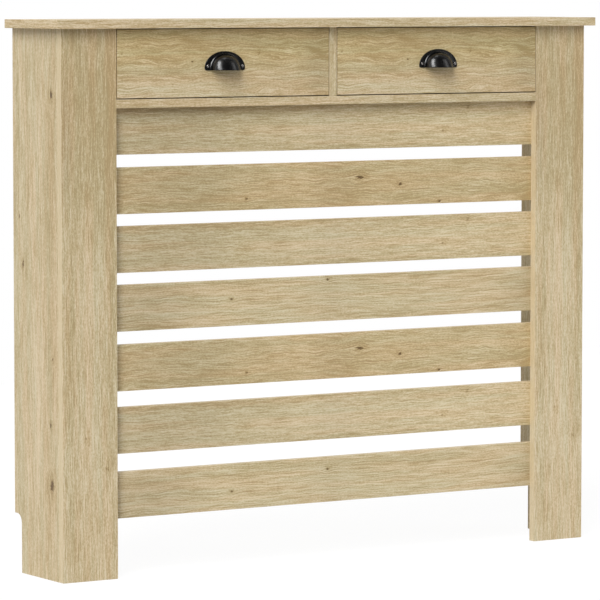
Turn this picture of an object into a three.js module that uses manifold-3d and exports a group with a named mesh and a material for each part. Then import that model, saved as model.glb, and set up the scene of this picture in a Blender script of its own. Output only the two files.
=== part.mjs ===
// A radiator cover cabinet in oak laminate: two side panels and two front stiles carry a top board,
// a row of two drawers and seven slats, and the back is open for the radiator.
// Millimetres. +X runs along the front to the right, +Y towards the wall and +Z up.
// The origin is the centre of the footprint, on the floor.

import * as THREE from 'three';
import { mergeVertices } from 'three/addons/utils/BufferGeometryUtils.js';
import Module from 'manifold-3d';

const wasm = await Module();
wasm.setup();

// Body of the cabinet
const bodyLength = 1090;
const bodyDepth = 175;
const bodyHeight = 945;
const sideThickness = 15;
const backPanelThickness = 15;

// Top board
const topThickness = 15;
const topSideOverhang = 15;
const topFrontOverhang = 15;

// Front stiles, the wide uprights at each side
const stileWidth = 107;
const stileThickness = 15;

// Cut-out for the skirting board, at the lower back corner of each side panel
const skirtingDepth = 25;
const skirtingHeight = 103;
const skirtingRadius = 16;

// Slats, with the gap under each one from the top down
const slatHeight = 80;
const slatThickness = 15;
const slatGaps = [22, 21, 21, 23, 28, 32];

// Row of drawers
const drawerOpeningHeight = 121;
const shelfThickness = 15;
const dividerThickness = 15;
const guideWidth = 15;
const guideHeight = 20;

// One drawer
const drawerFrontThickness = 15;
const drawerFrontGap = 1.75;
const drawerBoardThickness = 12;
const drawerTopClearance = 3;
const drawerRearClearance = 8;
const drawerSlideClearance = 0.3;
const drawerBottomThickness = 3;
const drawerBottomRise = 8;
const grooveDepth = 6;
const grooveClearance = 0.25;

// Cup pull
const pullWidth = 81;
const pullHeight = 33;
const pullRise = 46;
const flangeThickness = 1.5;
const flangeCornerRadius = 3.5;
const cupWidth = 59;
const cupHeight = 28;
const cupProjection = 23;
const cupWall = 1.3;
const cupSquareness = 2.2;

// Steel wall bracket in each back corner, under the drawer shelf
const bracketLeg = 30;
const bracketHeight = 30;
const bracketThickness = 2;
const bracketHoleDiameter = 5.5;
const bracketDrop = 20;

// Plastic corner blocks that join the boards from inside
const blockWidth = 20;
const blockLength = 32;
const blockChamfer = 9;
const blockInset = 12;

// Screws
const slatScrew = { length: 22, diameter: 4, headDiameter: 8, headHeight: 2.6 };
const pullScrew = { length: 11, diameter: 2.8, headDiameter: 5.6, headHeight: 2.2 };
const pullScrewSpacing = 70;
const pullScrewRise = 7.4;
const bracketScrew = { length: 12, diameter: 3.5, headDiameter: 7, headHeight: 2.3 };
const screwClearance = 0.3;
const screwTipClearance = 0.8;
const holeOvershoot = 1;
// Rounding of a pan head, as shares of its radius and height
const panHeadPoints = [[1, 0], [1, 0.35], [0.86, 0.72], [0.5, 0.95], [0, 1]];

// Facets of round shapes
const screwFacets = 14;
const arcFacets = 10;
const cornerFacets = 5;
const flangeFacets = 18;
const cupRings = 28;
const cupSegments = 32;

// Places that follow from the sizes
const topLength = bodyLength + 2 * topSideOverhang;
const overallDepth = bodyDepth + Math.max(topFrontOverhang, cupProjection);
const backY = overallDepth / 2;
const frontY = backY - bodyDepth;
const topFrontY = frontY - topFrontOverhang;
const stileBackY = frontY + stileThickness;
const slatBackY = stileBackY + slatThickness;
const outerX = bodyLength / 2;
const innerX = outerX - sideThickness;
const stileInnerX = outerX - stileWidth;
const shelfTopZ = bodyHeight - drawerOpeningHeight;
const shelfUnderZ = shelfTopZ - shelfThickness;
const backPanelY = backY - backPanelThickness;
const slatCount = slatGaps.length + 1;
const slatScrewX = (stileInnerX + innerX) / 2;
const bayWidth = stileInnerX - dividerThickness / 2;
const bayCentreX = dividerThickness / 2 + bayWidth / 2;
const drawerWidth = bayWidth - 2 * drawerFrontGap;
const drawerFrontHeight = drawerOpeningHeight - 2 * drawerFrontGap;
const drawerSideHeight = drawerOpeningHeight - drawerSlideClearance - drawerTopClearance;
const drawerBackY = backPanelY - drawerRearClearance;
const boxFrontY = frontY + drawerFrontThickness;
const bracketZ = shelfUnderZ - bracketDrop - bracketHeight;

const oakColour = 0xc2a67c;
const paleOakColour = 0xcdb48b;
const boxBoardColour = 0xd6c7a6;
const hardboardColour = 0xb79a72;
const blackColour = 0x0b0b0c;
const steelColour = 0xb9bcc0;
const zincColour = 0xc9cbc6;
const plasticColour = 0xb08f66;

const sides = [
  { name: 'left', sign: -1 },
  { name: 'right', sign: 1 },
];

function toSolid(geometry) {
  const plain = geometry.clone();
  plain.deleteAttribute('normal');
  plain.deleteAttribute('uv');
  const merged = mergeVertices(plain, 1e-4);
  const index = Array.from(merged.index.array);
  const triangles = [];
  for (let i = 0; i < index.length; i += 3) {
    const [a, b, c] = index.slice(i, i + 3);
    if (a !== b && b !== c && c !== a) {
      triangles.push(a, b, c);
    }
  }
  return new wasm.Manifold(new wasm.Mesh({
    numProp: 3,
    vertProperties: new Float32Array(merged.attributes.position.array),
    triVerts: new Uint32Array(triangles),
  }));
}

function toGeometry(solid) {
  const mesh = solid.getMesh();
  const geometry = new THREE.BufferGeometry();
  geometry.setAttribute('position', new THREE.BufferAttribute(new Float32Array(mesh.vertProperties), 3));
  geometry.setIndex(new THREE.BufferAttribute(new Uint32Array(mesh.triVerts), 1));
  geometry.computeVertexNormals();
  return geometry;
}

function cutAway(geometry, cutters) {
  let solid = toSolid(geometry);
  for (const cutter of cutters) {
    solid = solid.subtract(toSolid(cutter));
  }
  return toGeometry(solid);
}

// A rectangular block between two corners.
function block(low, high) {
  const geometry = new THREE.BoxGeometry(high[0] - low[0], high[1] - low[1], high[2] - low[2]);
  geometry.translate((low[0] + high[0]) / 2, (low[1] + high[1]) / 2, (low[2] + high[2]) / 2);
  return geometry;
}

// A round rod from a start point along a unit direction.
function rod(start, direction, length, diameter) {
  const geometry = new THREE.CylinderGeometry(diameter / 2, diameter / 2, length, screwFacets);
  geometry.translate(0, length / 2, 0);
  const turn = new THREE.Quaternion().setFromUnitVectors(new THREE.Vector3(0, 1, 0), direction);
  geometry.applyQuaternion(turn);
  geometry.translate(start[0], start[1], start[2]);
  return geometry;
}

// Adds one piece: its geometry is moved to its own centre, and the mesh is placed where it was.
function addPiece(group, name, geometry, colour, roughness, metalness) {
  geometry.computeBoundingBox();
  const centre = geometry.boundingBox.getCenter(new THREE.Vector3());
  geometry.translate(-centre.x, -centre.y, -centre.z);
  const material = new THREE.MeshStandardMaterial({ color: colour, roughness, metalness });
  const mesh = new THREE.Mesh(geometry, material);
  mesh.name = name;
  mesh.position.copy(centre);
  group.add(mesh);
}

function addOakBoard(group, name, geometry, colour = oakColour) {
  addPiece(group, name, geometry, colour, 0.55, 0);
}

// A pan-head screw whose head rests at seat, with its shank running along direction.
function addScrew(group, name, size, seat, direction, colour) {
  const shank = size.diameter / 2;
  const head = size.headDiameter / 2;
  const profile = [
    new THREE.Vector2(0, -size.length),
    new THREE.Vector2(shank, -size.length + size.diameter),
    new THREE.Vector2(shank, 0),
    ...panHeadPoints.map(([across, up]) => new THREE.Vector2(across * head, up * size.headHeight)),
  ];
  const geometry = new THREE.LatheGeometry(profile, screwFacets);
  const outward = direction.clone().negate();
  geometry.applyQuaternion(new THREE.Quaternion().setFromUnitVectors(new THREE.Vector3(0, 1, 0), outward));
  geometry.translate(seat[0], seat[1], seat[2]);
  const offset = outward.multiplyScalar(screwClearance);
  geometry.translate(offset.x, offset.y, offset.z);
  addPiece(group, name, geometry, colour, 0.3, 0.9);
}

// The clearance hole of a screw whose head rests at seat, run a little past the seat's face.
function screwHole(size, seat, direction) {
  const length = holeOvershoot + size.length + screwTipClearance;
  const start = new THREE.Vector3(...seat).addScaledVector(direction, -holeOvershoot);
  return rod(start.toArray(), direction, length, size.diameter + 2 * screwClearance);
}

const towardFront = new THREE.Vector3(0, -1, 0);
const towardWall = new THREE.Vector3(0, 1, 0);

const slats = [];
let slatTopZ = shelfUnderZ;
for (let i = 0; i < slatCount; i += 1) {
  const slatBottomZ = slatTopZ - slatHeight;
  slats.push({ name: `slat_${i + 1}`, bottom: slatBottomZ, top: slatTopZ });
  slatTopZ = slatBottomZ - (slatGaps[i] ?? 0);
}

function slatScrewSeat(slat, side) {
  return [side.sign * slatScrewX, slatBackY, (slat.bottom + slat.top) / 2];
}

function bracketScrewSeat(side) {
  const legMiddleY = backY - (bracketLeg + bracketThickness) / 2;
  return [side.sign * (innerX - bracketThickness), legMiddleY, bracketZ + bracketHeight / 2];
}

function makeTopBoard(group) {
  const half = topLength / 2;
  addOakBoard(group, 'top_board', block([-half, topFrontY, bodyHeight], [half, backY, bodyHeight + topThickness]));
}

// Side panel outline in depth and height, with the rounded skirting cut-out at the lower back.
function makeSidePanel(group, side) {
  const outline = new THREE.Shape();
  const notchY = backY - skirtingDepth;
  outline.moveTo(stileBackY, 0);
  outline.lineTo(notchY, 0);
  outline.lineTo(notchY, skirtingHeight - skirtingRadius);
  outline.absarc(notchY + skirtingRadius, skirtingHeight - skirtingRadius, skirtingRadius,
    Math.PI, Math.PI / 2, true);
  outline.lineTo(backY, skirtingHeight);
  outline.lineTo(backY, bodyHeight);
  outline.lineTo(stileBackY, bodyHeight);
  const panel = new THREE.ExtrudeGeometry(outline, {
    depth: sideThickness, bevelEnabled: false, curveSegments: arcFacets,
  });
  const axes = [new THREE.Vector3(0, 1, 0), new THREE.Vector3(0, 0, 1), new THREE.Vector3(1, 0, 0)];
  panel.applyMatrix4(new THREE.Matrix4().makeBasis(...axes));
  panel.translate(side.sign > 0 ? innerX : -outerX, 0, 0);
  const outward = new THREE.Vector3(side.sign, 0, 0);
  const hole = screwHole(bracketScrew, bracketScrewSeat(side), outward);
  addOakBoard(group, `${side.name}_side_panel`, cutAway(panel, [hole]));
}

function makeStile(group, side) {
  const x = [side.sign * stileInnerX, side.sign * outerX].sort((a, b) => a - b);
  const stile = block([x[0], frontY, 0], [x[1], stileBackY, bodyHeight]);
  const holes = slats.map((slat) => screwHole(slatScrew, slatScrewSeat(slat, side), towardFront));
  addOakBoard(group, `${side.name}_stile`, cutAway(stile, holes));
}

// The shelf reaches the front between the stiles and fills the cabinet behind them.
function makeDrawerShelf(group) {
  const outline = new THREE.Shape();
  outline.moveTo(-stileInnerX, frontY);
  outline.lineTo(stileInnerX, frontY);
  outline.lineTo(stileInnerX, stileBackY);
  outline.lineTo(innerX, stileBackY);
  outline.lineTo(innerX, backY);
  outline.lineTo(-innerX, backY);
  outline.lineTo(-innerX, stileBackY);
  outline.lineTo(-stileInnerX, stileBackY);
  const shelf = new THREE.ExtrudeGeometry(outline, { depth: shelfThickness, bevelEnabled: false });
  shelf.translate(0, 0, shelfUnderZ);
  addOakBoard(group, 'drawer_shelf', shelf, paleOakColour);
}

function makeDrawerBay(group) {
  const half = dividerThickness / 2;
  addOakBoard(group, 'centre_divider',
    block([-half, frontY, shelfTopZ], [half, backPanelY, bodyHeight]), paleOakColour);
  addOakBoard(group, 'drawer_back_panel',
    block([-innerX, backPanelY, shelfTopZ], [innerX, backY, bodyHeight]));
  for (const side of sides) {
    const x = [side.sign * stileInnerX, side.sign * (stileInnerX + guideWidth)].sort((a, b) => a - b);
    addOakBoard(group, `${side.name}_drawer_guide`,
      block([x[0], stileBackY, shelfTopZ], [x[1], backPanelY, shelfTopZ + guideHeight]), boxBoardColour);
  }
}

function makeSlats(group) {
  for (const slat of slats) {
    const board = block([-innerX, stileBackY, slat.bottom], [innerX, slatBackY, slat.top]);
    const holes = sides.map((side) => screwHole(slatScrew, slatScrewSeat(slat, side), towardFront));
    addOakBoard(group, slat.name, cutAway(board, holes));
    for (const side of sides) {
      addScrew(group, `${slat.name}_${side.name}_screw`, slatScrew, slatScrewSeat(slat, side),
        towardFront, zincColour);
    }
  }
}

// A moulded block in the corner between a side panel and the board above it.
function makeCornerBlock(group, name, side, y, z) {
  const outline = new THREE.Shape();
  outline.moveTo(0, 0);
  outline.lineTo(0, -blockWidth);
  outline.lineTo(-side.sign * (blockWidth - blockChamfer), -blockWidth);
  outline.lineTo(-side.sign * blockWidth, -(blockWidth - blockChamfer));
  outline.lineTo(-side.sign * blockWidth, 0);
  const body = new THREE.ExtrudeGeometry(outline, { depth: blockLength, bevelEnabled: false });
  body.rotateX(Math.PI / 2);
  body.translate(side.sign * innerX, y + blockLength / 2, z);
  addPiece(group, name, body, plasticColour, 0.5, 0);
}

function makeCornerBlocks(group) {
  const frontBlockY = stileBackY + blockInset + blockLength / 2;
  const rearBlockY = backPanelY - blockInset - blockLength / 2;
  for (const side of sides) {
    makeCornerBlock(group, `${side.name}_top_front_block`, side, frontBlockY, bodyHeight);
    makeCornerBlock(group, `${side.name}_top_rear_block`, side, rearBlockY, bodyHeight);
    makeCornerBlock(group, `${side.name}_shelf_block`, side, (frontBlockY + rearBlockY) / 2, shelfUnderZ);
  }
}

// An angle bracket: one leg on the side panel, the other flush with the back for a wall screw.
function makeWallBracket(group, side) {
  const outline = new THREE.Shape();
  const corner = [side.sign * innerX, backY];
  const legX = corner[0] - side.sign * bracketLeg;
  const legY = corner[1] - bracketLeg;
  outline.moveTo(corner[0], corner[1]);
  outline.lineTo(legX, corner[1]);
  outline.lineTo(legX, corner[1] - bracketThickness);
  outline.lineTo(corner[0] - side.sign * bracketThickness, corner[1] - bracketThickness);
  outline.lineTo(corner[0] - side.sign * bracketThickness, legY);
  outline.lineTo(corner[0], legY);
  const angle = new THREE.ExtrudeGeometry(outline, { depth: bracketHeight, bevelEnabled: false });
  angle.translate(0, 0, bracketZ);
  const seat = bracketScrewSeat(side);
  const outward = new THREE.Vector3(side.sign, 0, 0);
  const wallHoleX = corner[0] - side.sign * (bracketLeg + bracketThickness) / 2;
  const wallHole = rod([wallHoleX, backY - bracketThickness - holeOvershoot, seat[2]], towardWall,
    bracketThickness + 2 * holeOvershoot, bracketHoleDiameter);
  const bracket = cutAway(angle, [screwHole(bracketScrew, seat, outward), wallHole]);
  addPiece(group, `${side.name}_wall_bracket`, bracket, steelColour, 0.35, 0.9);
  addScrew(group, `${side.name}_wall_bracket_screw`, bracketScrew, seat, outward, zincColour);
}

// A rounded-corner half moon in width and height, with its straight edge at height 0.
function halfMoon(width, height, cornerRadius) {
  const outline = new THREE.Shape();
  outline.moveTo(-width / 2 + cornerRadius, 0);
  outline.lineTo(width / 2 - cornerRadius, 0);
  outline.absarc(width / 2 - cornerRadius, cornerRadius, cornerRadius, -Math.PI / 2, 0, false);
  for (let i = 1; i < flangeFacets; i += 1) {
    const angle = (Math.PI * i) / flangeFacets;
    const rise = (height - cornerRadius) * Math.sin(angle);
    outline.lineTo((width / 2) * Math.cos(angle), cornerRadius + rise);
  }
  outline.lineTo(-width / 2, cornerRadius);
  outline.absarc(-width / 2 + cornerRadius, cornerRadius, cornerRadius, Math.PI, Math.PI * 1.5, false);
  return outline;
}

// A squared ellipsoid centred on the pull's straight edge, with its poles at the two ends.
function cupForm(halfWidth, projection, height) {
  const form = new THREE.SphereGeometry(1, cupSegments, cupRings);
  form.rotateZ(Math.PI / 2);
  const points = form.attributes.position;
  const scale = [halfWidth, projection, height];
  for (let i = 0; i < points.count; i += 1) {
    const unit = [points.getX(i), points.getY(i), points.getZ(i)];
    const sum = unit.reduce((total, value) => total + Math.abs(value) ** cupSquareness, 0);
    const reach = sum ** (-1 / cupSquareness);
    points.setXYZ(i, ...unit.map((value, axis) => value * reach * scale[axis]));
  }
  return form;
}

// The pull in its own frame: x along the drawer, y out of its face towards the back, z up from the edge.
function makePull(group, side, screwSeats) {
  const outer = toSolid(cupForm(cupWidth / 2, cupProjection, cupHeight));
  const inner = toSolid(cupForm(cupWidth / 2 - cupWall, cupProjection - cupWall, cupHeight - cupWall));
  const quarter = toSolid(block([-cupWidth, -2 * cupProjection, 0], [cupWidth, 0, 2 * cupHeight]));
  const plate = new THREE.ExtrudeGeometry(halfMoon(pullWidth, pullHeight, flangeCornerRadius), {
    depth: flangeThickness, bevelEnabled: false, curveSegments: cornerFacets,
  });
  plate.rotateX(Math.PI / 2);
  let pull = outer.intersect(quarter).add(toSolid(plate)).subtract(inner);
  for (const seat of screwSeats) {
    pull = pull.subtract(toSolid(screwHole(pullScrew, seat, towardWall)));
  }
  addPiece(group, `${side.name}_cup_pull`, toGeometry(pull), blackColour, 0.18, 0.1);
}

// A drawer in its own frame: centred on its bay in x, with z from the shelf and y as in the cabinet.
function makeDrawer(group, side) {
  const half = drawerWidth / 2;
  const innerHalf = half - drawerBoardThickness;
  const grooveZ = drawerSlideClearance + drawerBottomRise;
  const groove = block(
    [-innerHalf - grooveDepth, boxFrontY - grooveDepth, grooveZ - grooveClearance],
    [innerHalf + grooveDepth, drawerBackY - drawerBoardThickness + grooveDepth,
      grooveZ + drawerBottomThickness + grooveClearance]);
  const bottomEdge = grooveDepth - grooveClearance;
  const sideTop = drawerSlideClearance + drawerSideHeight;
  const pullBaseZ = drawerFrontGap + pullRise;
  const frontHoles = sides.map((end) => screwHole(pullScrew,
    [(end.sign * pullScrewSpacing) / 2, frontY - flangeThickness, pullBaseZ + pullScrewRise], towardWall));

  const front = block([-half, frontY, drawerFrontGap], [half, boxFrontY, drawerFrontGap + drawerFrontHeight]);
  addOakBoard(group, `${side.name}_drawer_front`, cutAway(front, [groove, ...frontHoles]));
  for (const end of sides) {
    const x = [end.sign * innerHalf, end.sign * half].sort((a, b) => a - b);
    const board = block([x[0], boxFrontY, drawerSlideClearance], [x[1], drawerBackY, sideTop]);
    addOakBoard(group, `${side.name}_drawer_${end.name}_side`, cutAway(board, [groove]), boxBoardColour);
  }
  const back = block([-innerHalf, drawerBackY - drawerBoardThickness, drawerSlideClearance],
    [innerHalf, drawerBackY, sideTop]);
  addOakBoard(group, `${side.name}_drawer_back`, cutAway(back, [groove]), boxBoardColour);
  const bottom = block([-innerHalf - bottomEdge, boxFrontY - bottomEdge, grooveZ],
    [innerHalf + bottomEdge, drawerBackY - drawerBoardThickness + bottomEdge, grooveZ + drawerBottomThickness]);
  addOakBoard(group, `${side.name}_drawer_bottom`, bottom, hardboardColour);

  const handle = new THREE.Group();
  handle.position.set(0, frontY, pullBaseZ);
  const seats = sides.map((end) => [(end.sign * pullScrewSpacing) / 2, -flangeThickness, pullScrewRise]);
  makePull(handle, side, seats);
  sides.forEach((end, i) => {
    addScrew(handle, `${side.name}_pull_${end.name}_screw`, pullScrew, seats[i], towardWall, steelColour);
  });
  group.add(handle);
}

function makeCabinet() {
  const cabinet = new THREE.Group();
  makeTopBoard(cabinet);
  for (const side of sides) {
    makeSidePanel(cabinet, side);
    makeStile(cabinet, side);
    makeWallBracket(cabinet, side);
  }
  makeDrawerShelf(cabinet);
  makeDrawerBay(cabinet);
  makeSlats(cabinet);
  makeCornerBlocks(cabinet);
  for (const side of sides) {
    const drawer = new THREE.Group();
    drawer.position.set(side.sign * bayCentreX, 0, shelfTopZ);
    makeDrawer(drawer, side);
    cabinet.add(drawer);
  }
  return cabinet;
}

export default makeCabinet();
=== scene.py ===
import math

import bmesh
import bpy
from mathutils import Matrix, Vector


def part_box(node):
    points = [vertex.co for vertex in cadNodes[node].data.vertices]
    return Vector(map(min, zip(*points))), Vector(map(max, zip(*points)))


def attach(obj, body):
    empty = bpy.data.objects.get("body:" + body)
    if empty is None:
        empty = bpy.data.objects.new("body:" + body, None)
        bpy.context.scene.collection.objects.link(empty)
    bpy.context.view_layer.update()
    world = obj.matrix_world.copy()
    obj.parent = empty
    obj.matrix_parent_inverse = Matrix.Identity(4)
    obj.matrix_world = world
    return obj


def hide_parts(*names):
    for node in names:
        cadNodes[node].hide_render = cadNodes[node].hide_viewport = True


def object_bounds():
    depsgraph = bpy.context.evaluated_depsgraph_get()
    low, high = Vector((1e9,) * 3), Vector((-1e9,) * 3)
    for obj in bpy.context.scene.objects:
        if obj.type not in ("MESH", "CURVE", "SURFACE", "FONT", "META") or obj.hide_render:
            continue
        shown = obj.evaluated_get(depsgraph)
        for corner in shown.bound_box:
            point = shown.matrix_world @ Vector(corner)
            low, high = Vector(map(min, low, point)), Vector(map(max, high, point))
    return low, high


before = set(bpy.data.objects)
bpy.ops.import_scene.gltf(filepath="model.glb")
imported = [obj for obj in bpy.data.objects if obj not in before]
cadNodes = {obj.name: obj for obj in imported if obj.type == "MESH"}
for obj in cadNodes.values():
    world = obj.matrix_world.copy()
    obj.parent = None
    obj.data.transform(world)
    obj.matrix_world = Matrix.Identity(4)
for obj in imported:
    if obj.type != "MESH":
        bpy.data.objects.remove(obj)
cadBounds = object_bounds()
print("frame loaded:", len(cadNodes), "nodes")

mm = 0.001
xAxis = Vector((1, 0, 0))
yAxis = Vector((0, 1, 0))
white = (1, 1, 1, 1)
seedSteps = (1, 1.7, 2.3)  # how a seed moves a pattern along each axis

cameraView = {
    "place": (-3.7862, -6.0209, 1.0180),
    "pitchDown": 4.502,
    "turnRight": 32.018,
    "lens": 239.66,
    "sensor": 36.0,
    "farthest": 100,
}

roomSettings = {
    "ambient": 0.22,  # how brightly the room's walls light the cabinet
    "frontGloss": 0.04,  # how bright the dim front of the studio is in a glossy surface
    "frontFade": (-0.35, 0.15),  # where the dim front turns into the white back, as the Y part of a direction
    "floorColour": (0.50, 0.50, 0.50, 1),
    "floorRoughness": 0.8,
    "floorShine": 0.2,
    "floorWhite": 0.80,  # share of the floor that always shows as the white background
    "floorGlow": 1.15,
    "floorSize": 6.0,
}

# azimuth is counted from straight in front, towards the right; distance is from the cabinet's middle
lampSettings = {
    "keySoftbox": {"azimuth": -48, "elevation": 40, "distance": 20,
                   "width": 7.4, "height": 14.4, "power": 4080},
    "nearKey": {"azimuth": -30, "elevation": 23, "distance": 10,
                "width": 1.3, "height": 2.4, "power": 82},
    "leftSoftbox": {"azimuth": -95, "elevation": 20, "distance": 6,
                    "width": 4.0, "height": 4.0, "power": 40},
    "rightSoftbox": {"azimuth": 50, "elevation": 20, "distance": 5,
                     "width": 0.9, "height": 4.0, "power": 26},
    "topSoftbox": {"azimuth": 50, "elevation": 79, "distance": 5,
                   "width": 1.2, "height": 1.2, "power": 12},
    "frontFill": {"azimuth": 38, "elevation": -12, "distance": 2,
                  "width": 1.6, "height": 0.5, "power": 5, "inReflections": False},
    "backFill": {"azimuth": 180, "elevation": 24, "distance": 5,
                 "width": 4.0, "height": 2.5, "power": 85, "inReflections": False},
}


class Wire:
    # one socket of a shader tree: arithmetic adds Math nodes, node() adds any other node
    def __init__(self, tree, socket=None):
        self.tree = tree
        self.socket = socket

    def node(self, kind, settings=None, inputs=None, output=0):
        made = self.tree.nodes.new("ShaderNode" + kind)
        for name, value in (settings or {}).items():
            if name == "stops":
                self.setStops(made.color_ramp, value)
            else:
                setattr(made, name, value)
        for name, value in (inputs or {}).items():
            if isinstance(value, Wire):
                self.tree.links.new(value.socket, made.inputs[name])
            else:
                made.inputs[name].default_value = value
        return Wire(self.tree, made.outputs[output])

    def setStops(self, ramp, stops):
        while len(ramp.elements) < len(stops):
            ramp.elements.new(1.0)
        for element, (place, colour) in zip(ramp.elements, stops):
            element.position = place
            element.color = (*colour, 1)

    def math(self, operation, first, second=0.0):
        return self.node("Math", {"operation": operation}, {0: first, 1: second})

    def __add__(self, other):
        return self.math("ADD", self, other)

    def __radd__(self, other):
        return self.math("ADD", other, self)

    def __sub__(self, other):
        return self.math("SUBTRACT", self, other)

    def __rsub__(self, other):
        return self.math("SUBTRACT", other, self)

    def __mul__(self, other):
        return self.math("MULTIPLY", self, other)

    def __rmul__(self, other):
        return self.math("MULTIPLY", other, self)

    def __abs__(self):
        return self.math("ABSOLUTE", self)

    def vector(self, operation, *values, output=0):
        inputs = dict(enumerate((self, *values)))
        return self.node("VectorMath", {"operation": operation}, inputs, output)

    def dot(self, axis):
        return self.vector("DOT_PRODUCT", tuple(axis), output="Value")

    def span(self, low, high, first=0.0, last=1.0):
        return self.node("MapRange", {"interpolation_type": "SMOOTHSTEP"},
                         {"Value": self, "From Min": low, "From Max": high, "To Min": first, "To Max": last})

    def spot(self, place, size, turn=0.0, core=0.0, strength=1.0):
        # an oval spot that fades from its core, given as a share of its size, to nothing at its outline
        inside = self.node("Mapping", {"vector_type": "TEXTURE"},
                           {"Vector": self, "Location": (*place, 0), "Rotation": (0, 0, math.radians(turn)),
                            "Scale": (*size, 1)})
        return inside.vector("LENGTH", output="Value").span(core, 1.0, strength, 0.0)

    def mottle(self, scale, detail, roughness=0.5):
        return self.node("TexNoise", {"noise_dimensions": "3D"},
                         {"Vector": self, "Scale": scale, "Detail": detail, "Roughness": roughness})

    def noise(self, period, seed, detail=2.0, roughness=0.5):
        # period is the size of the pattern along and across, in the same unit as the plane's numbers
        scale = (*(1 / size for size in period), 1.0)
        place = self.vector("MULTIPLY_ADD", scale, tuple(seed * step for step in seedSteps))
        return place.mottle(1.0, detail, roughness)

    def blend(self, first, second):
        # this value is the factor between two colours
        return self.node("Mix", {"data_type": "RGBA"}, {0: self, 6: first, 7: second}, 2)

    def times(self, colour):
        # the product of two colours
        settings = {"data_type": "RGBA", "blend_type": "MULTIPLY"}
        return self.node("Mix", settings, {0: 1.0, 6: self, 7: colour}, 2)

    def ramp(self, stops):
        return self.node("ValToRGB", {"stops": stops}, {"Fac": self})

    def bump(self, strength, distance):
        return self.node("Bump", {}, {"Strength": strength, "Distance": distance, "Height": self})


def newMaterial(name):
    material = bpy.data.materials.new(name)
    material.use_nodes = True
    tree = material.node_tree
    return material, Wire(tree), tree.nodes["Principled BSDF"]


def connect(shader, values):
    for name, value in values.items():
        if isinstance(value, Wire):
            shader.id_data.links.new(value.socket, shader.inputs[name])
        else:
            shader.inputs[name].default_value = value


def makeCamera():
    data = bpy.data.cameras.new("camera")
    data.lens = cameraView["lens"]
    data.sensor_width = cameraView["sensor"]
    data.clip_end = cameraView["farthest"]
    camera = bpy.data.objects.new("camera", data)
    camera.location = cameraView["place"]
    tilt = math.radians(90 - cameraView["pitchDown"])
    camera.rotation_euler = (tilt, 0, math.radians(-cameraView["turnRight"]))
    bpy.context.scene.collection.objects.link(camera)
    bpy.context.scene.camera = camera


def backgroundRay(wire):
    # 1 for the rays that should see the white background: camera, glossy and transmission
    names = ("Is Camera Ray", "Is Glossy Ray", "Is Transmission Ray")
    camera, glossy, transmission = (wire.node("LightPath", output=name) for name in names)
    return wire.math("MINIMUM", camera + glossy + transmission, 1.0)


def makeWorld():
    world = bpy.data.worlds.new("room")
    bpy.context.scene.world = world
    world.use_nodes = True
    wire = Wire(world.node_tree)
    direction = wire.node("TexCoord", output="Generated")
    behind = direction.dot(yAxis).span(*roomSettings["frontFade"])
    gloss = behind * (1 - roomSettings["frontGloss"]) + roomSettings["frontGloss"]
    shown = wire.math("MAXIMUM", wire.node("LightPath", output="Is Camera Ray"), gloss)
    seen = backgroundRay(wire)
    strength = seen * shown + (1 - seen) * roomSettings["ambient"]
    connect(world.node_tree.nodes["Background"], {"Color": white, "Strength": strength})


def makeFloor():
    mesh = bpy.data.meshes.new("floor")
    half = roomSettings["floorSize"] / 2
    corners = [(-half, -half, 0), (half, -half, 0), (half, half, 0), (-half, half, 0)]
    mesh.from_pydata(corners, [], [(0, 1, 2, 3)])
    floor = bpy.data.objects.new("floor", mesh)
    bpy.context.scene.collection.objects.link(floor)
    material, wire, shader = newMaterial("paleFloor")
    connect(shader, {"Base Color": roomSettings["floorColour"], "Roughness": roomSettings["floorRoughness"],
                     "Specular IOR Level": roomSettings["floorShine"]})
    tree = material.node_tree
    glow = wire.node("Emission", {}, {"Color": white, "Strength": roomSettings["floorGlow"]})
    share = backgroundRay(wire) * roomSettings["floorWhite"]
    mixed = wire.node("MixShader", {}, {0: share, 1: Wire(tree, shader.outputs[0]), 2: glow})
    tree.links.new(mixed.socket, tree.nodes["Material Output"].inputs["Surface"])
    mesh.materials.append(material)


def makeLamps():
    centre = (cadBounds[0] + cadBounds[1]) / 2
    for name, lamp in lampSettings.items():
        data = bpy.data.lights.new(name, "AREA")
        data.shape = "RECTANGLE"
        data.size = lamp["width"]
        data.size_y = lamp["height"]
        data.energy = lamp["power"]
        azimuth = math.radians(lamp["azimuth"])
        elevation = math.radians(lamp["elevation"])
        level = math.cos(elevation)
        away = Vector((math.sin(azimuth) * level, -math.cos(azimuth) * level, math.sin(elevation)))
        light = bpy.data.objects.new(name, data)
        light.location = centre + away * lamp["distance"]
        light.rotation_mode = "QUATERNION"
        light.rotation_quaternion = (-away).to_track_quat("-Z", "Y")
        light.visible_glossy = lamp.get("inReflections", True)
        bpy.context.scene.collection.objects.link(light)


makeCamera()
makeWorld()
makeFloor()
makeLamps()
bpy.context.scene.view_settings.view_transform = "Standard"
print("camera, room and lamps ready")


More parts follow.
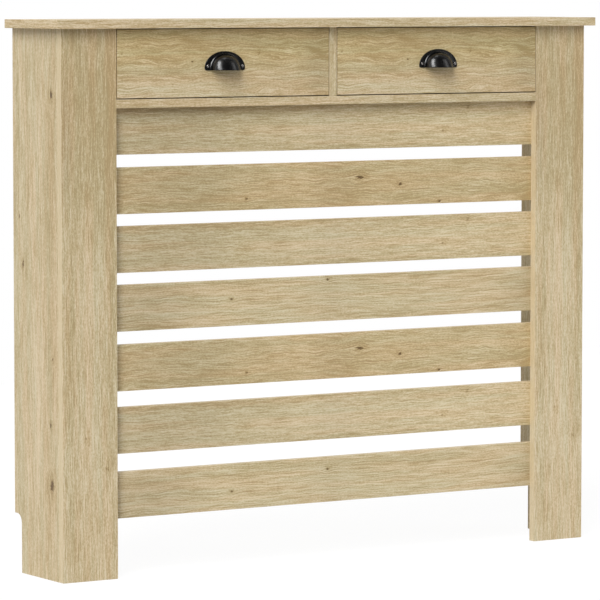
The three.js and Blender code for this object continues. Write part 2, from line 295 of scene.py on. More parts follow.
oakSettings = {
    # colours of the print from its knots to its lightest wood
    "ramp": [
        (0.00, (0.130, 0.078, 0.034)),
        (0.14, (0.330, 0.237, 0.110)),
        (0.30, (0.426, 0.324, 0.170)),
        (0.46, (0.482, 0.377, 0.214)),
        (0.62, (0.538, 0.434, 0.268)),
        (0.80, (0.596, 0.497, 0.330)),
        (1.00, (0.652, 0.562, 0.395)),
    ],
    "pinkTint": (1.030, 0.992, 0.972, 1),
    "greenTint": (0.974, 1.004, 1.000, 1),
    "patchLimits": (0.34, 0.66),  # noise values where greenish wood turns pinkish
    "middleTone": 0.62,
    "darkestGrain": 0.24,  # only knots are darker than this tone
    "bandCore": 0.15,  # share of a band or shade that has its full strength
    "lowerStart": (30, 95),  # mm across the grain, where a print's lower tint takes over
    "edgeBand": (0.660, 0.550, 0.360, 1),
    "paleEdge": 0.35,  # how far a narrow edge goes to the edge band's colour
    "facing": (0.6, 0.8),  # how squarely a face points one way to count as that side
    "roughness": 0.52,
    "shine": 0.35,
    "bump": (0.25, 0.2 * mm),
}

# Layers of noise in every print, with their size along and across the grain in mm.
# The waves and the ripple bend the grain by their strength, and the next five change its tone by it.
grainLayers = {
    "longWave": {"size": (260, 50), "seed": 0, "detail": 2, "roughness": 0.5, "strength": 2.6},
    "shortWave": {"size": (70, 24), "seed": 4, "detail": 2, "roughness": 0.5, "strength": 1.3},
    "ripple": {"size": (30, 40), "seed": 6, "detail": 1, "roughness": 0.5, "strength": 4.0},
    "cloud": {"size": (300, 20), "seed": 9, "detail": 2, "roughness": 0.45, "strength": 0.30},
    "fibre": {"size": (80, 5.0), "seed": 17, "detail": 3, "roughness": 0.66, "strength": 0.38},
    "lines": {"size": (110, 1.3), "seed": 27, "detail": 1, "roughness": 0.5, "strength": 0.95},
    "fineFibre": {"size": (38, 1.3), "seed": 23, "detail": 1, "roughness": 0.6, "strength": 1.65},
    "grit": {"size": (4, 1.3), "seed": 51, "detail": 1, "roughness": 0.7, "strength": 1.25},
    "pores": {"size": (10, 0.6), "seed": 31, "detail": 1, "roughness": 0.5},
    "ridges": {"size": (24, 0.9), "seed": 23, "detail": 2, "roughness": 0.5},
    "tintPatch": {"size": (240, 18), "seed": 41, "detail": 2, "roughness": 0.5},
}

poreSettings = {
    "limits": (0.60, 0.72),  # noise values between which a pore opens
    "tone": 0.16,  # how much darker it is
    "depth": 0.6,  # how deep it is next to the ridges of the surface
    "rough": 0.15,  # how much rougher it is
}

# sizes as shares of a knot's radius, along and across the grain
knotSettings = {
    "halo": (5, 3.2),
    "core": (1.7, 1.1),
    "coreEdge": 0.1,
    "haloShade": 0.30,
    "swirl": 0.8,  # how far the grain parts round the knot
}

# Printed decors, with some painted light and shade among their shades. Each place is in mm along and across
# the grain from the print's start.
# wave: how far the grain bends; tone: the print's own middle tone
# ripple, lines: the print's own strength of that layer of noise
# knots: place, radius, darkness
# bands: place, half length and half width, turn in degrees, change of tone, which strength multiplies
# shades: written like bands, but they change how bright the colour is, and strength leaves them alone; some
# are the print's own and some are painted light and shade, as marked at each list
# tint: colour of the whole print, or of its upper part where there is a lowerTint for the rest
decors = {
    "stripe": {
        "seed": 3.1,
        "tint": (1.0, 1.0, 0.975, 1),
        "wave": 4.0,
        "strength": 1.05,
        "knots": [((753, 20), 2.6, 0.34), ((699, 62), 2.2, 0.30)],
        "bands": [
            ((190, 10), (290, 22), 0, -0.20),
            ((175, 22), (70, 12), 0, -0.08),
            ((330, 20), (90, 11), 0, -0.12),
            ((440, 8), (130, 13), 0, -0.17),
            ((620, 9), (160, 9), 0, -0.20),
            ((745, 14), (60, 12), 0, -0.20),
            ((860, 8), (80, 8), 0, -0.10),
            ((95, 52), (60, 14), 0, -0.09),
            ((440, 52), (110, 32), 0, 0.12),
            ((700, 42), (190, 22), 0, 0.05),
            ((505, 88), (75, 12), 0, -0.16),
            ((620, 94), (130, 13), 0, -0.16),
            ((870, 88), (120, 18), 0, -0.17),
        ],
        "shades": [
            # the first shade, a darker left end, is partly the print and partly painted shade beside the left
            # stile; the second and third are painted light and painted shade in two columns that fall on
            # every slat alike
            ((120, 55), (330, 130), 0, -0.135),
            ((275, 60), (80, 50), 0, 0.05),
            ((465, 50), (80, 90), 0, -0.06),
            ((800, 55), (300, 90), 0, 0.05),
        ],
    },
    "knotty": {
        "seed": 11.7,
        "tone": 0.55,
        "tint": (1.0, 0.978, 0.907, 1),
        "wave": 6.0,
        "ripple": 7.0,
        "strength": 1.2,
        "knots": [((503, 29), 6.5, 0.54), ((590, 43), 3.2, 0.46), ((268, 60), 3.0, 0.46),
                  ((675, 76), 2.0, 0.40)],
        "bands": [
            ((480, 58), (85, 22), 0, -0.10),
            ((510, 20), (60, 12), 0, -0.08),
            ((340, 70), (60, 7), -6, -0.12),
            ((735, 7), (70, 7), 0, -0.13),
            ((610, 10), (60, 8), 0, -0.08),
            ((600, 66), (80, 9), 0, -0.10),
            ((835, 61), (95, 8), -10, -0.24),
            ((868, 72), (40, 10), 0, -0.14),
            ((760, 32), (120, 18), 0, 0.10),
        ],
        "shades": [
            # the first shade, a darker left end, is partly the print and partly painted shade beside the left
            # stile; the second and third are painted light and painted shade in two columns that fall on
            # every slat alike
            ((140, 40), (260, 110), 0, -0.135),
            ((260, 55), (80, 60), 0, 0.05),
            ((448, 40), (80, 90), 0, -0.06),
        ],
    },
    "calm": {
        "seed": 19.4,
        "tint": (1.0, 1.0, 0.975, 1),
        "wave": 5.0,
        "strength": 1.25,
        "knots": [((237, 33), 3.0, 0.54), ((436, 6), 3.8, 0.36)],
        "bands": [
            ((85, 77), (85, 8), 0, -0.20),
            ((210, 5), (270, 6), 0, -0.12),
            ((650, 4), (230, 7), 0, -0.12),
            ((835, 56), (95, 14), -14, -0.13),
            ((560, 73), (270, 9), 0, -0.10),
            ((450, 40), (190, 22), 0, 0.07),
        ],
        "shades": [
            # the first shade, a darker left end, is partly the print and partly painted shade beside the left
            # stile; the second is painted shade in a column that falls darker on every slat alike
            ((50, 45), (190, 110), 0, -0.16),
            ((448, 40), (80, 90), 0, -0.05),
            ((930, 45), (150, 110), 0, -0.17),
        ],
    },
    "drawer": {
        "seed": 27.2,
        "wave": 12.0,
        "strength": 1.25,
        "ripple": 7.0,
        "lines": 0.75,
        "tone": 0.50,
        # the upper tint is yellower: partly the print, partly painted warm light in the shade under the top
        # board
        "tint": (1.0, 0.985, 0.84, 1),
        "lowerTint": (1.0, 0.990, 0.975, 1),
        "knots": [((148, 56), 1.8, 0.40), ((9, 42), 2.0, 0.34), ((284, 43), 2.2, 0.34),
                  ((109, 96), 2.0, 0.2)],
        "bands": [
            ((60, 28), (60, 9), 22, -0.10),
            ((150, 24), (60, 10), 24, -0.14),
            ((70, 40), (70, 7), -16, -0.14),
            ((335, 22), (60, 10), -8, -0.10),
            ((404, 37), (34, 8), 20, -0.34),
            ((345, 38), (16, 7), 0, 0.22),
            ((60, 27), (40, 4), -20, 0.14),
            ((100, 108), (270, 32), 0, 0.14),
            ((340, 110), (120, 24), 0, 0.08),
            ((40, 62), (50, 9), 0, 0.12),
        ],
        "shades": [
            ((213, 45), (330, 60), 0, -0.06),
            ((410, 50), (60, 90), 0, -0.12),
            # painted light: a lighter strip along the top edge, where the top board's shadow falls; painted
            # shade: a darker strip below it, drawing that shadow further down
            ((213, 4), (330, 11), 0, 0.08),
            ((213, 29), (330, 15), 0, -0.07),
        ],
    },
    "flank": {
        "seed": 35.8,
        "wave": 5.0,
        "strength": 1.45,
        "knots": [((112, 35), 4.6, 0.52), ((564, 34), 2.6, 0.44), ((678, 42), 2.8, 0.50),
                  ((781, 38), 9.0, 0.42), ((406, 139), 5.0, 0.46), ((324, 153), 2.8, 0.42)],
        "bands": [
            ((240, 42), (260, 26), 0, -0.20),
            ((540, 46), (230, 22), 0, -0.14),
            ((160, 24), (170, 7), 0, -0.08),
            ((330, 62), (160, 5), 0, -0.08),
            ((575, 65), (60, 6), 0, -0.10),
            ((795, 46), (60, 14), 0, -0.14),
            ((880, 46), (50, 7), 0, -0.10),
            ((90, 122), (75, 7), 0, -0.13),
            ((285, 122), (55, 7), 0, -0.13),
            ((415, 128), (60, 13), 0, -0.13),
            ((250, 156), (260, 9), 0, -0.08),
            ((640, 92), (340, 26), 0, 0.10),
            ((240, 94), (190, 18), 0, 0.07),
        ],
    },
    "top": {
        "seed": 52.3,
        "wave": 7.0,
        "strength": 1.5,
        "tone": 0.60,
        "knots": [((318, 128), 3.4, 0.40), ((842, 74), 2.6, 0.38), ((604, 182), 2.2, 0.34)],
        "bands": [
            ((240, 70), (330, 20), 0, -0.12),
            ((330, 120), (180, 16), 0, -0.12),
            ((880, 112), (260, 22), 0, -0.13),
            ((640, 160), (300, 18), 0, 0.10),
            ((520, 60), (200, 14), 0, 0.08),
        ],
    },
    "edge": {
        "seed": 44.0,
        "wave": 2.0,
        "strength": 1.0,
        "tone": 0.60,
        "knots": [],
        "bands": [],
    },
}

# the stiles are cut from the stripe print, where it is browner at its start; at their top this is partly the
# print and partly painted shade, warm like the light bounced under the top board
decors["stile"] = {
    **decors["stripe"],
    "tint": (1.0, 1.0, 1.0, 1),
    "bands": decors["stripe"]["bands"] + [
        ((120, 55), (330, 130), 0, -0.205),
        ((800, 55), (300, 90), 0, 0.07),
    ],
    "shades": [((190, 100), (170, 22), 0, -0.09)],
}

coreSettings = {
    "ramp": [(0.0, (0.33, 0.22, 0.115)), (0.5, (0.50, 0.36, 0.20)), (1.0, (0.64, 0.50, 0.32))],
    "flake": (2.6, 2.6, 1.1),  # mm
    "mix": (0.32, 0.24, 0.24),
    "dust": 0.3,
    "dustSize": (0.4, 0.4),  # as shares of a flake
}


def layerNoise(plane, name, decor):
    layer = grainLayers[name]
    return plane.noise(layer["size"], decor["seed"] + layer["seed"], layer["detail"], layer["roughness"])


def swing(plane, name, decor, factor=1.0):
    # a layer of noise that goes up and down from 0; a decor may have its own strength for it
    strength = decor.get(name, grainLayers[name]["strength"])
    return (layerNoise(plane, name, decor) - 0.5) * (strength * factor)


def chipboardColour(place, seed):
    # bare board core: pressed flakes, seen only where an edge has no band
    flakes = place.vector("DIVIDE", tuple(size * mm for size in coreSettings["flake"]))
    cells = flakes.node("TexVoronoi", {"feature": "F1"}, {"Vector": flakes, "Scale": 1.0}, "Color")
    dust = flakes.noise(coreSettings["dustSize"], seed)
    return (cells.dot(coreSettings["mix"]) + dust * coreSettings["dust"]).ramp(coreSettings["ramp"])


def boardPlane(place, normal, board):
    # mm along and across the grain, from the print's start
    u = place.dot(Vector(board["along"]) / mm) - board["start"][0]
    v = place.dot(Vector(board["across"]) / mm) - board["start"][1]
    if "endAlong" in board:
        # the band on the short end has its grain along the end, not across it
        atEnd = abs(normal.dot(board["along"])).span(*oakSettings["facing"])
        depth = place.dot(Vector(board["endAlong"]) / mm) * atEnd
        u = u + depth
        v = v - depth
    return u, v


def grainBend(flat, v, decor):
    # how far the waves and the knots push the grain aside in mm, and how much the knots darken it
    bend = swing(flat, "longWave", decor, decor["wave"]) + swing(flat, "shortWave", decor, decor["wave"])
    bend = bend + swing(flat, "ripple", decor)
    darkness = 0.0
    for knot, radius, depth in decor["knots"]:
        haloSize, coreSize = ([radius * share for share in knotSettings[part]] for part in ("halo", "core"))
        halo = flat.spot(knot, haloSize)
        core = flat.spot(knot, coreSize, 0, knotSettings["coreEdge"])
        bend = bend - (v - knot[1]) * halo * knotSettings["swirl"]
        darkness = darkness + (core * depth + halo * (depth * knotSettings["haloShade"]))
    return bend, darkness


def grainTone(grain, flat, decor, paintedLight):
    # where the print stands between its darkest and its lightest wood, without pores and knots; paintedLight
    # shifts a whole board as painted light and shade
    tone = swing(grain, "cloud", decor) + (decor.get("tone", oakSettings["middleTone"]) + paintedLight)
    for name in ("fibre", "lines", "fineFibre"):
        tone = tone + swing(grain, name, decor)
    tone = tone + swing(flat, "grit", decor)
    for middle, size, turn, change in decor["bands"]:
        tone = tone + grain.spot(middle, size, turn, oakSettings["bandCore"], change * decor["strength"])
    return tone


def printColour(tone, grain, flat, v, decor):
    patches = layerNoise(grain, "tintPatch", decor).span(*oakSettings["patchLimits"])
    tint = patches.blend(oakSettings["greenTint"], oakSettings["pinkTint"])
    colour = tone.ramp(oakSettings["ramp"]).times(tint)
    if "tint" in decor:
        upper = decor["tint"]
        lower = decor.get("lowerTint", upper)
        colour = colour.times(v.span(*oakSettings["lowerStart"]).blend(upper, lower))
    # shades: the print's own lighter and darker parts together with painted light and shade
    if "shades" in decor:
        shade = 1.0
        for middle, size, turn, change in decor["shades"]:
            shade = shade + flat.spot(middle, size, turn, oakSettings["bandCore"], change)
        colour = colour.times(shade)
    return colour


def oakMaterial(name, board):
    decor = decors[board["decor"]]
    material, wire, shader = newMaterial(name)
    place = wire.node("TexCoord", output="Object")
    normal = wire.node("TexCoord", output="Normal")
    u, v = boardPlane(place, normal, board)
    flat = wire.node("CombineXYZ", {}, {0: u, 1: v})
    bend, darkness = grainBend(flat, v, decor)
    grain = wire.node("CombineXYZ", {}, {0: u, 1: v + bend})

    pores = layerNoise(grain, "pores", decor).span(*poreSettings["limits"])
    tone = grainTone(grain, flat, decor, board["paintedLight"]) - pores * poreSettings["tone"]
    tone = wire.math("MAXIMUM", tone, oakSettings["darkestGrain"]) - darkness
    colour = printColour(tone, grain, flat, v, decor)

    pale = board.get("pale", oakSettings["paleEdge"])
    banded = abs(normal.dot(board["thin"])).span(*oakSettings["facing"], 0.0, pale)
    colour = banded.blend(colour, oakSettings["edgeBand"])
    if "bare" in board:
        bare = normal.dot(board["bare"]).span(*oakSettings["facing"])
        colour = bare.blend(colour, chipboardColour(place, decor["seed"]))
    height = layerNoise(grain, "ridges", decor) - pores * poreSettings["depth"]
    rough = oakSettings["roughness"] + pores * poreSettings["rough"]
    connect(shader, {"Base Color": colour, "Roughness": rough, "Specular IOR Level": oakSettings["shine"],
                     "Normal": height.bump(*oakSettings["bump"])})
    return material


# Which way each board's grain runs, its narrow edges, and the side without a band if there is one.
# The print wraps over the edges, because across has a share of the thickness too.
frontUpright = {
    "along": (0, 0, -1),
    "across": (-1, 1, 0),
    "thin": (1, 0, 0),
    "bare": (0, 0, -1),
    "pale": 0.6,
}
sideUpright = {"along": (0, 0, -1), "across": (1, 1, 0), "thin": (0, 1, 0), "bare": (0, 0, -1)}
frontLevel = {"along": (1, 0, 0), "across": (0, 1, -1), "thin": (0, 0, 1), "endAlong": (0, 1, 0)}

# decor, then how far into the print the board starts, along and across
boardFinishes = {
    "top_board": (frontLevel, "top", (0, 0)),
    "left_stile": (frontUpright, "stile", (0, 0)),
    "right_stile": (frontUpright, "stile", (0, 0)),
    "left_side_panel": (sideUpright, "flank", (0, 15)),
    "right_side_panel": (sideUpright, "flank", (0, 15)),
    "drawer_shelf": (frontLevel, "edge", (300, 60)),
    "centre_divider": (frontUpright, "edge", (500, 200)),
    "drawer_back_panel": (frontLevel, "calm", (0, 0)),
    "slat_1": (frontLevel, "stripe", (-75, 11)),
    "slat_2": (frontLevel, "knotty", (-92, 0)),
    "slat_3": (frontLevel, "stripe", (-75, 11)),
    "slat_4": (frontLevel, "calm", (-92, 0)),
    "slat_5": (frontLevel, "knotty", (-92, 0)),
    "slat_6": (frontLevel, "stripe", (-75, 11)),
    "slat_7": (frontLevel, "calm", (-92, -15)),
    "left_drawer_front": (frontLevel, "drawer", (0, 0)),
    "right_drawer_front": (frontLevel, "drawer", (0, 0)),
}

# painted light and shade: the lower slats and the right stile lighter, the upper slats and the left stile
# darker, as the light falls brighter low down and from the right
paintedBoardLight = {
    "slat_1": -0.04,
    "slat_2": -0.04,
    "slat_6": 0.04,
    "slat_7": 0.03,
    "left_stile": -0.02,
    "right_stile": 0.03,
}

# weld joins the corner points of neighbouring faces first, so that the bevel finds each edge
edgeSettings = {"width": 0.5 * mm, "segments": 2, "angle": math.radians(40), "weld": 0.01 * mm}


def printStart(node, layout, skip):
    # the print's start, so that its first corner lies on the face's upper left as the grain runs
    low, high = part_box(node)
    corners = [Vector((x, low.y, z)) for x in (low.x, high.x) for z in (low.z, high.z)]
    firstU = min(corner.dot(Vector(layout["along"])) for corner in corners) / mm
    firstV = min(corner.dot(Vector(layout["across"])) for corner in corners) / mm
    return firstU - skip[0], firstV - skip[1]


def easeEdges(thing):
    weld = thing.modifiers.new("weld", "WELD")
    weld.merge_threshold = edgeSettings["weld"]
    bevel = thing.modifiers.new("easedEdges", "BEVEL")
    bevel.width = edgeSettings["width"]
    bevel.segments = edgeSettings["segments"]
    bevel.limit_method = "ANGLE"
    bevel.angle_limit = edgeSettings["angle"]


def dress(node, material):
    cadNodes[node].data.materials.clear()
    cadNodes[node].data.materials.append(material)
    easeEdges(cadNodes[node])


for name, (layout, decorName, skip) in boardFinishes.items():
    board = {**layout, "decor": decorName, "start": printStart(name, layout, skip),
             "paintedLight": paintedBoardLight.get(name, 0.0)}
    dress(name, oakMaterial("oak_" + name, board))
print("oak boards dressed:", len(boardFinishes))


cleanDistance = 0.002 * mm  # points closer than this become one


def makePiece(name, mesh, body, slotName, material, *replaced):
    piece = bpy.data.objects.new(name, mesh)
    bpy.context.scene.collection.objects.link(piece)
    mesh.materials.append(material)
    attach(piece, body)
    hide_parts(*replaced)


def finishMesh(shape, name, sharpAngle):
    bmesh.ops.remove_doubles(shape, verts=shape.verts, dist=cleanDistance)
    bmesh.ops.dissolve_degenerate(shape, edges=shape.edges, dist=cleanDistance)
    bmesh.ops.recalc_face_normals(shape, faces=shape.faces)
    for face in shape.faces:
        face.smooth = True
    for edge in shape.edges:
        edge.smooth = edge.calc_face_angle(0.0) < math.radians(sharpAngle)
    mesh = bpy.data.meshes.new(name)
    shape.to_mesh(mesh)
    shape.free()
    return mesh


def skinnedShape(rings):
    # quads between neighbouring rings of points, and a face over each end
    shape = bmesh.new()
    rows = [[shape.verts.new(point) for point in ring] for ring in rings]
    count = len(rows[0])
    for row, following in zip(rows, rows[1:]):
        for i in range(count):
            j = (i + 1) % count
            shape.faces.new((row[i], row[j], following[j], following[i]))
    shape.faces.new(rows[0])
    shape.faces.new(rows[-1])
    return shape


# lengths are in mm
pullSettings = {
    # the flange
    "width": 81,
    "height": 33,
    "cornerRadius": 3.5,
    "thickness": 1.5,
    "easedEdge": 0.5,
    # its eased edge, from outside to inside: steps inwards and backwards as shares of easedEdge
    "edgeSteps": [(0, 1), (0.3, 0.3), (1, 0), (1.8, 0)],
    # the cup
    "cupWidth": 56,
    "cupHeight": 26.6,
    "projection": 23,
    "wall": 1.3,
    "squareness": 2.2,
    "rimShare": 0.4,  # how much of the whole dome's height is cut off at the rim
    "rimEase": 0.3,  # how round the rim's two edges are, as a share of the wall
    "rimLift": 0.4,  # most that the rounding climbs up the cup
    "rimSlope": 0.2,  # the same where the cup is low, as a share of its height
    # raised welt round the foot of the cup: distance from the foot and height, from outside to inside
    "welt": [(3.3, 0), (2.9, 0.06), (2.6, 0.25), (2.1, 0.75), (1.6, 1.2), (1.2, 1.42), (0.85, 1.45),
             (0.5, 1.25), (0.3, 0.7), (0.2, 0.1)],
    # how finely it is made
    "slices": 72,
    "cornerSteps": 6,
    "cupSteps": 26,
    "stepEase": 1.15,  # above 1, the cup's rings are closer together near its foot
    "innerSteps": 12,
    "sharpAngle": 50,
}

# colours are linear; waves and handling are the scales of their noise, per metre
enamelSettings = {
    "colours": [(0.35, (0.0018, 0.0018, 0.002)), (0.75, (0.0045, 0.0042, 0.004))],
    "waves": 320.0,
    "handling": 90.0,
    "roughness": 0.20,
    "rubbed": 0.12,
    "shine": 0.6,
    "bump": (0.06, 0.3 * mm),
}


def pullOutline():
    # half moon from its lower right corner, over the top, to its lower left corner
    halfWidth, height = pullSettings["width"] / 2, pullSettings["height"]
    corner, steps = pullSettings["cornerRadius"], pullSettings["cornerSteps"]
    right = []
    for step in range(steps + 1):
        angle = math.radians(-90 + 90 * step / steps)
        right.append((halfWidth - corner + corner * math.cos(angle), corner + corner * math.sin(angle)))
    arch = []
    for step in range(1, pullSettings["slices"]):
        angle = math.pi * step / pullSettings["slices"]
        arch.append((halfWidth * math.cos(angle), corner + (height - corner) * math.sin(angle)))
    left = [(-x, z) for x, z in reversed(right)]
    return right + arch + left


def cupPoint(halfWidth, height, base, projection, alpha, beta):
    # part of a squared ellipsoid; alpha runs along the cup, and beta from its rim (0) to its foot (1)
    power, low = 2 / pullSettings["squareness"], pullSettings["rimShare"]
    rimAngle = math.asin(low ** (1 / power))
    angle = rimAngle + (math.pi / 2 - rimAngle) * beta
    reach = max(math.sin(alpha), 0.0) ** power
    x = halfWidth * math.copysign(abs(math.cos(alpha)) ** power, math.cos(alpha))
    forward = max(math.cos(angle), 0.0) ** power / math.cos(rimAngle) ** power
    upward = (math.sin(angle) ** power - low) / (1 - low)
    return Vector((x, -base - (projection - base) * reach * forward, height * reach * upward))


def rimPoints(rim, innerRim, climb):
    # the cup's rim, eased from its outer to its inner edge
    ease = pullSettings["rimEase"]
    across = (innerRim - rim) * ease
    lift = Vector((0, 0, climb))
    return [rim + lift, rim + lift * ease + across * ease, rim + across,
            innerRim - across, innerRim + lift * ease - across * ease, innerRim + lift]


def pullRing(outlineX, outlineZ):
    # one slice of the pull: from the flange's edge over the welt and the cup, and back inside the cup
    width, height, wall = pullSettings["cupWidth"] / 2, pullSettings["cupHeight"], pullSettings["wall"]
    thick, eased = pullSettings["thickness"], pullSettings["easedEdge"]
    projection, steps, innerSteps = (pullSettings[key] for key in ("projection", "cupSteps", "innerSteps"))
    alpha = math.atan2(outlineZ / pullSettings["height"], outlineX / (pullSettings["width"] / 2))
    foot = cupPoint(width, height, thick, projection, alpha, 1)
    power = pullSettings["squareness"] - 1
    outward = Vector((math.copysign((abs(foot.x) / width) ** power / width, foot.x), 0,
                      (foot.z / height) ** power / height)).normalized()
    edge = Vector((outlineX, 0, outlineZ))
    inset = foot - edge
    inset.y = 0
    inset.normalize()
    points = [edge]
    for inwards, backwards in pullSettings["edgeSteps"]:
        points.append(edge + inset * (eased * inwards) + Vector((0, eased * backwards - thick, 0)))
    for distance, rise in pullSettings["welt"]:
        points.append(foot + outward * distance + Vector((0, -rise, 0)))
    cup = [cupPoint(width, height, thick, projection, alpha, 1 - (step / steps) ** pullSettings["stepEase"])
           for step in range(1, steps + 1)]
    inner = [cupPoint(width - wall, height - wall, 0, projection - wall, alpha, step / innerSteps)
             for step in range(innerSteps + 1)]
    rim, innerRim = cup.pop(), inner.pop(0)
    climb = min(pullSettings["rimLift"], pullSettings["rimSlope"] * (cup[-1].z - rim.z) * steps)
    return points + cup + rimPoints(rim, innerRim, climb) + inner


def enamelMaterial():
    # black enamel, with a faint orange-peel waviness and places rubbed duller by hands
    material, wire, shader = newMaterial("blackEnamel")
    place = wire.node("TexCoord", output="Object")
    waviness = place.mottle(enamelSettings["waves"], 2)
    handling = place.mottle(enamelSettings["handling"], 3)
    connect(shader, {"Base Color": handling.ramp(enamelSettings["colours"]),
                     "Roughness": handling * enamelSettings["rubbed"] + enamelSettings["roughness"],
                     "Normal": waviness.bump(*enamelSettings["bump"]),
                     "Specular IOR Level": enamelSettings["shine"]})
    return material


enamel = enamelMaterial()
for side in ("left", "right"):
    low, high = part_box(side + "_cup_pull")
    seat = Vector(((low.x + high.x) / 2, high.y, low.z))
    shape = skinnedShape([[seat + point * mm for point in pullRing(x, z)] for x, z in pullOutline()])
    mesh = finishMesh(shape, side + "CupPull", pullSettings["sharpAngle"])
    makePiece(side + "CupPull", mesh, side + "_drawer", "black_enamel", enamel, side + "_cup_pull")
print("cup pulls made")


# lengths are in mm
screwSettings = {
    "pull": {"length": 11, "shank": 2.8, "head": 5.6, "headHeight": 2.2, "recess": 1.5,
             "plate": "nickelPlate", "slot": "steel"},
    "slat": {"length": 22, "shank": 4, "head": 8, "headHeight": 2.6, "recess": 2.1,
             "plate": "zincPlate", "slot": "zinc"},
    "bracket": {"length": 12, "shank": 3.5, "head": 7, "headHeight": 2.3, "recess": 1.9,
                "plate": "zincPlate", "slot": "zinc"},
    "tipRadius": 0.02,
    "tipLength": 1.8,
    "tipWidth": 0.55,  # share of the shank's radius where the tip ends
    "threadStart": 2.0,
    "unthreaded": 3,  # how much of the length has no thread, at its two ends together
    "pitch": 1.2,
    "threadDepth": 0.16,  # share of the shank's radius
    "threadTop": 0.35,  # how far along each pitch its crest and its foot are
    "threadFoot": 0.7,
    "neck": 0.4,  # how far under the head the last thread runs out
    # the head's profile, as shares of its radius and its height
    "dome": [(0.97, 0), (1, 0.12), (0.99, 0.34), (0.93, 0.58), (0.82, 0.78), (0.68, 0.92)],
    # rings over the cross recess, as shares of its radius
    "recessRings": (0.98, 0.9, 0.8, 0.66, 0.5, 0.34, 0.2, 0.06),
    # the cross: how wide its arms are and how far their sides and ends slope, as shares of its radius
    "armWidth": 0.52,
    "armSlope": 0.2,
    "endSlope": 0.15,
    "recessDepth": 0.6,  # share of the head's height
    "recessTaper": 0.45,  # how much shallower it is at its outline
    "segments": 32,
    "sharpAngle": 55,
    "turn": 0.7,  # radians by which a screw is turned for each letter of its name
}

# colour and roughness, and how much the patina adds to the roughness
platedSettings = {
    "nickelPlate": {"colour": (0.26, 0.25, 0.24), "roughness": 0.06, "dulled": 0.08},
    "zincPlate": {"colour": (0.60, 0.60, 0.58), "roughness": 0.28, "dulled": 0.2},
    "patina": 700.0,  # scales of the noise, per metre
    "scuffs": 2400.0,
    "darkest": 0.72,
    "limits": (0.3, 0.7),
    "bump": (0.15, 0.1 * mm),
}


def clamp(value):
    return min(max(value, 0.0), 1.0)


def recessTop(angle, share, size):
    # height of the head's flat top, sunk inside the cross recess; share is how far out in the recess
    arm = abs(math.sin(2 * angle)) * share  # small along the four arms
    pit = clamp((screwSettings["armWidth"] - arm) / screwSettings["armSlope"])
    pit *= clamp((1 - share) / screwSettings["endSlope"])
    sunk = screwSettings["recessDepth"] * pit * (1 - screwSettings["recessTaper"] * share)
    return size["headHeight"] * (1 - sunk)


def screwProfile(size):
    # radius and height of each ring, from the tip to the edge of the recess
    shank, length = size["shank"] / 2, size["length"]
    depth, pitch = screwSettings["threadDepth"] * shank, screwSettings["pitch"]
    profile = [(screwSettings["tipRadius"], -length),
               (shank * screwSettings["tipWidth"], screwSettings["tipLength"] - length)]
    for turn in range(int((length - screwSettings["unthreaded"]) / pitch)):
        z = screwSettings["threadStart"] - length + turn * pitch
        profile += [(shank - depth, z), (shank, z + pitch * screwSettings["threadTop"]),
                    (shank - depth, z + pitch * screwSettings["threadFoot"])]
    profile += [(shank - depth / 2, -screwSettings["neck"]), (shank, 0)]
    radius, height = size["head"] / 2, size["headHeight"]
    return profile + [(radius * wide, height * high) for wide, high in screwSettings["dome"]]


def ringPoint(reach, angle, z):
    return Vector((reach * math.cos(angle), reach * math.sin(angle), z)) * mm


def screwMesh(name, size):
    # stands on its head's seat, with the head towards +Z and the shank towards -Z
    count = screwSettings["segments"]
    angles = [2 * math.pi * i / count for i in range(count)]
    rings = [[ringPoint(reach, angle, z) for angle in angles] for reach, z in screwProfile(size)]
    for share in screwSettings["recessRings"]:
        reach = size["recess"] * share
        rings.append([ringPoint(reach, angle, recessTop(angle, share, size)) for angle in angles])
    return finishMesh(skinnedShape(rings), name, screwSettings["sharpAngle"])


def platedMaterial(name):
    # plated metal with the fine scuffs of a driver's bit
    setting = platedSettings[name]
    material, wire, shader = newMaterial(name)
    place = wire.node("TexCoord", output="Object")
    patina = place.mottle(platedSettings["patina"], 3)
    scuff = place.mottle(platedSettings["scuffs"], 2)
    dark = tuple(channel * platedSettings["darkest"] for channel in setting["colour"])
    colour = patina.ramp(list(zip(platedSettings["limits"], (dark, setting["colour"]))))
    connect(shader, {"Base Color": colour, "Metallic": 1.0,
                     "Roughness": patina * setting["dulled"] + setting["roughness"],
                     "Normal": scuff.bump(*platedSettings["bump"])})
    return material


def screwsNamed():
    # every screw node, with its kind and the way its head faces
    found = []
    for name in cadNodes:
        if not name.endswith("_screw"):
            continue
        if "_pull_" in name:
            found.append((name, "pull", -yAxis))
        elif "_wall_bracket_" in name:
            found.append((name, "bracket", xAxis if name.startswith("left") else -xAxis))
        else:
            found.append((name, "slat", yAxis))
    return found


plated = {name: platedMaterial(name) for name in ("nickelPlate", "zincPlate")}
screws = screwsNamed()
for name, kind, facing in screws:
    low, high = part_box(name)
    centre = (low + high) / 2
    size = screwSettings[kind]
    outer = max(abs((corner - centre).dot(facing)) for corner in (low, high))
    seat = centre + facing * (outer - size["headHeight"] * mm)
    mesh = screwMesh(name, size)
    spin = Matrix.Rotation(len(name) * screwSettings["turn"], 4, "Z")
    upright = facing.to_track_quat("Z", "Y").to_matrix().to_4x4()
    mesh.transform(Matrix.Translation(seat) @ (upright @ spin))
    body = name.split("_")[0] + "_drawer" if kind == "pull" else "cabinet"
    makePiece(name + "_made", mesh, body, size["slot"], plated[size["plate"]], name)
print("screws made:", len(screws))


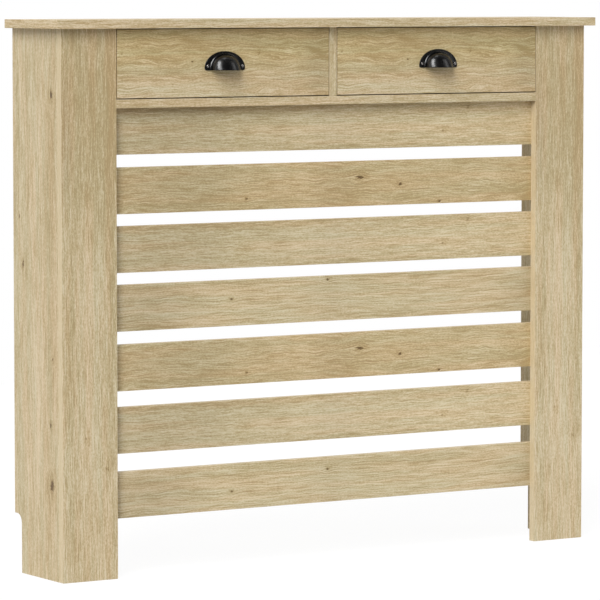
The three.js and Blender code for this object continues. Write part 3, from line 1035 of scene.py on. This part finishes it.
# darkest and lightest colour, size of the grain along and across it in mm, roughness, bump height in mm
plainSettings = {
    "drawerBoard": {"dark": (0.60, 0.50, 0.325), "light": (0.70, 0.61, 0.43),
                    "grain": (160, 5.0), "rough": 0.62, "bump": 0.05},
    "hardboard": {"dark": (0.36, 0.235, 0.12), "light": (0.52, 0.37, 0.21),
                  "grain": (3.0, 3.0), "rough": 0.55, "bump": 0.04},
    "guideStrip": {"dark": (0.55, 0.43, 0.26), "light": (0.66, 0.54, 0.35),
                   "grain": (120, 2.2), "rough": 0.6, "bump": 0.05},
    "blockPlastic": {"dark": (0.37, 0.225, 0.10), "light": (0.46, 0.29, 0.145),
                     "grain": (9.0, 9.0), "rough": 0.42, "bump": 0.03},
    # for all of them
    "streak": {"share": 0.7, "roughness": 0.6},
    "mottle": {"share": 0.5, "scale": 0.17},
    "darker": 0.1,
    "limits": (0.3, 0.7),  # tones that have the darkest and the lightest colour
    "roughened": 0.12,
    "bumpStrength": 0.4,
    "shine": 0.4,
}

bracketSettings = {
    "colour": (0.52, 0.53, 0.53),
    "darkest": 0.78,
    "limits": (0.2, 0.8),
    "spangle": 260.0,  # scales of the patterns, per metre
    "scratches": (1500, 1500, 90),
    "spangleMix": (0.33, 0.33, 0.34),
    "share": 0.5,  # how much the spangle and the scratches count
    "roughness": 0.26,
    "roughened": 0.2,
    "bump": (0.15, 0.1 * mm),
}


def plainMaterial(name, axis):
    # plain boards and plastic: streaks along the grain over a soft mottle; axis is the grain's, if it has one
    setting, streaks, mottles = plainSettings[name], plainSettings["streak"], plainSettings["mottle"]
    material, wire, shader = newMaterial(name + axis)
    place = wire.node("TexCoord", output="Object")
    along, across = setting["grain"]
    scaled = place.vector("DIVIDE", tuple((along if letter == axis else across) * mm for letter in "XYZ"))
    streak = scaled.mottle(1.0, 3, streaks["roughness"])
    mottle = scaled.mottle(mottles["scale"], 2)
    tone = streak * streaks["share"] + mottle * mottles["share"] - plainSettings["darker"]
    colour = tone.ramp(list(zip(plainSettings["limits"], (setting["dark"], setting["light"]))))
    rough = streak * plainSettings["roughened"] + setting["rough"]
    connect(shader, {"Base Color": colour, "Roughness": rough, "Specular IOR Level": plainSettings["shine"],
                     "Normal": streak.bump(plainSettings["bumpStrength"], setting["bump"] * mm)})
    return material


def bracketMaterial():
    # zinc plated sheet: soft spangle and fine scratches along its length
    material, wire, shader = newMaterial("bracketZinc")
    place = wire.node("TexCoord", output="Object")
    cells = {"Vector": place, "Scale": bracketSettings["spangle"]}
    spangle = place.node("TexVoronoi", {"feature": "F1"}, cells, "Color").dot(bracketSettings["spangleMix"])
    scratch = place.vector("MULTIPLY", bracketSettings["scratches"]).mottle(1.0, 2)
    tone = spangle * bracketSettings["share"] + scratch * bracketSettings["share"]
    light = bracketSettings["colour"]
    dark = tuple(channel * bracketSettings["darkest"] for channel in light)
    connect(shader, {"Base Color": tone.ramp(list(zip(bracketSettings["limits"], (dark, light)))),
                     "Metallic": 1.0,
                     "Roughness": tone * bracketSettings["roughened"] + bracketSettings["roughness"],
                     "Normal": scratch.bump(*bracketSettings["bump"])})
    return material


boardX = plainMaterial("drawerBoard", "X")
boardY = plainMaterial("drawerBoard", "Y")
guideStrip = plainMaterial("guideStrip", "Y")
bracketZinc = bracketMaterial()
blockPlastic = plainMaterial("blockPlastic", "Z")
hardboard = plainMaterial("hardboard", "")

# material by what follows the side in the node's name
otherFinishes = {
    "_drawer_guide": guideStrip,
    "_wall_bracket": bracketZinc,
    "_drawer_left_side": boardY,
    "_drawer_right_side": boardY,
    "_drawer_back": boardX,
    "_drawer_bottom": hardboard,
    "_top_front_block": blockPlastic,
    "_top_rear_block": blockPlastic,
    "_shelf_block": blockPlastic,
}
for side in ("left", "right"):
    for rest, material in otherFinishes.items():
        dress(side + rest, material)
print("other pieces dressed:", 2 * len(otherFinishes))
